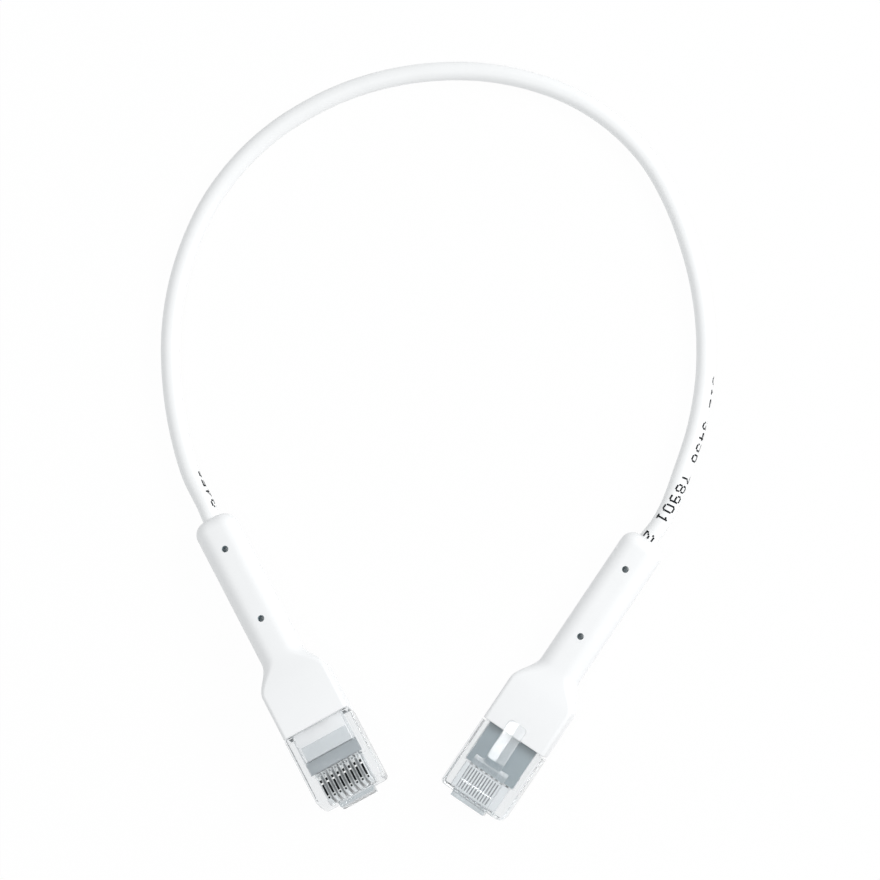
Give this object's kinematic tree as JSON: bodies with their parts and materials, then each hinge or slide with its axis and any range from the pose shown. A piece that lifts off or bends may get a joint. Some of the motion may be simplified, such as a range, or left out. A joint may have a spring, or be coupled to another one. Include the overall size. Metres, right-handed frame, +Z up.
{
  "type": "ethernet patch cable",
  "caption": "Slim white ethernet patch cable with clear modular plugs, sprung latches and long overmoulded boots, its thin round cord lying in an open loop.",
  "frame": {"origin": "on the surface that the plugs lie on, in the middle of the outline of the plugs and boots together, without the free cord", "axes": "+Z up; +Y from the plugs towards the top of the cord's loop, as the cable is seen from above; +X to the right, from plug a to plug b"},
  "size_m": [0.0899, 0.1228, 0.0116],
  "materials": {
    "clear_plastic": "clear polycarbonate, polished",
    "slate_insert": "grey moulded plastic",
    "pale_comb": "pale translucent moulding",
    "contact_metal": "plated contact blades, seen dark in their slots",
    "mould_white": "white inner moulding",
    "boot_white": "satin white soft vinyl",
    "jacket_white": "satin white vinyl jacket",
    "wire_insulation": "pale wire insulation"
  },
  "bodies": {
    "cable": {"plug_housing_a": "clear_plastic", "wire_carrier_a": "slate_insert", "load_bar_a": "pale_comb", "contact_a_1": "contact_metal", "contact_a_2": "contact_metal", "contact_a_3": "contact_metal", "contact_a_4": "contact_metal", "contact_a_5": "contact_metal", "contact_a_6": "contact_metal", "contact_a_7": "contact_metal", "contact_a_8": "contact_metal", "inner_mould_a": "mould_white", "boot_a": "boot_white", "plug_housing_b": "clear_plastic", "wire_carrier_b": "slate_insert", "load_bar_b": "pale_comb", "contact_b_1": "contact_metal", "contact_b_2": "contact_metal", "contact_b_3": "contact_metal", "contact_b_4": "contact_metal", "contact_b_5": "contact_metal", "contact_b_6": "contact_metal", "contact_b_7": "contact_metal", "contact_b_8": "contact_metal", "inner_mould_b": "mould_white", "boot_b": "boot_white", "cable_jacket": "jacket_white", "wire_1": "wire_insulation", "wire_2": "wire_insulation", "wire_3": "wire_insulation", "wire_4": "wire_insulation", "wire_5": "wire_insulation", "wire_6": "wire_insulation", "wire_7": "wire_insulation", "wire_8": "wire_insulation"},
    "latch_a": {"latch_a": "clear_plastic"},
    "latch_b": {"latch_b": "clear_plastic"}
  },
  "joints": [
    {"name": "latch_a_press", "type": "hinge", "parent": "cable", "child": "latch_a", "pos_m": [-0.01094, -0.02123, 0.00429], "axis": [0.8805, 0.4741, 0], "range_deg": [0, 8], "stiffness_Nm_per_rad": 0.3},
    {"name": "latch_b_press", "type": "hinge", "parent": "cable", "child": "latch_b", "pos_m": [0.00687, -0.02213, 0.0075], "axis": [-0.8281, 0.5606, 0], "range_deg": [0, 8], "stiffness_Nm_per_rad": 0.3}
  ]
}
